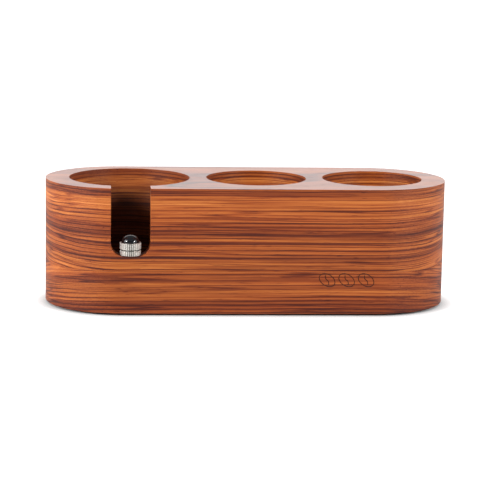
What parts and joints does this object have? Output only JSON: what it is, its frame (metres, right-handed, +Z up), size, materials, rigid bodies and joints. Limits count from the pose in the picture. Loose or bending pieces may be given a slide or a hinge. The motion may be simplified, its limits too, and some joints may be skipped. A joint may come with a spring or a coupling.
{
  "type": "espresso tamping station",
  "caption": "Rounded wooden block with a portafilter well, a handle slot with a screw-adjusted metal rest, and two round pockets for a tamper and a distributor.",
  "frame": {"origin": "under the middle of the block, on the surface that its feet stand on", "axes": "+X along the block from the portafilter well to the tool pockets, -Y out of the front with the handle slot, +Z up"},
  "size_m": [0.24, 0.0917, 0.075],
  "materials": {
    "wood": "oiled hardwood with long layered grain, satin",
    "silicone": "matt black silicone",
    "brass": "machined brass",
    "knurled_steel": "bright straight-knurled steel",
    "stud_steel": "rolled thread, satin",
    "black_gloss": "polished black"
  },
  "bodies": {
    "stand": {"upper_block": "wood", "base_board": "wood", "foot_1": "silicone", "foot_2": "silicone", "foot_3": "silicone", "foot_4": "silicone", "foot_5": "silicone", "foot_6": "silicone", "threaded_bush": "brass"},
    "lock": {"lock_ring": "knurled_steel"},
    "pad": {"dome_pad": "black_gloss"},
    "knob": {"adjuster_knob": "knurled_steel", "post_stud": "stud_steel"}
  },
  "joints": [
    {"name": "lock_ring_spin", "type": "hinge", "parent": "stand", "child": "lock", "pos_m": [-0.07, -0.0405, 0.0368], "axis": [0, 0, 1], "range_deg": [0, 90]},
    {"name": "post_height", "type": "slide", "parent": "stand", "child": "pad", "axis": [0, 0, 1], "range_m": [0, 0.0056]},
    {"name": "knob_spin", "type": "hinge", "parent": "pad", "child": "knob", "pos_m": [-0.07, -0.0405, 0.0408], "axis": [0, 0, 1], "range_deg": [0, 2880]}
  ],
  "couplings": [
    {"joint": "knob_spin", "follows": "post_height", "rad_per_m": 8975.9}
  ]
}
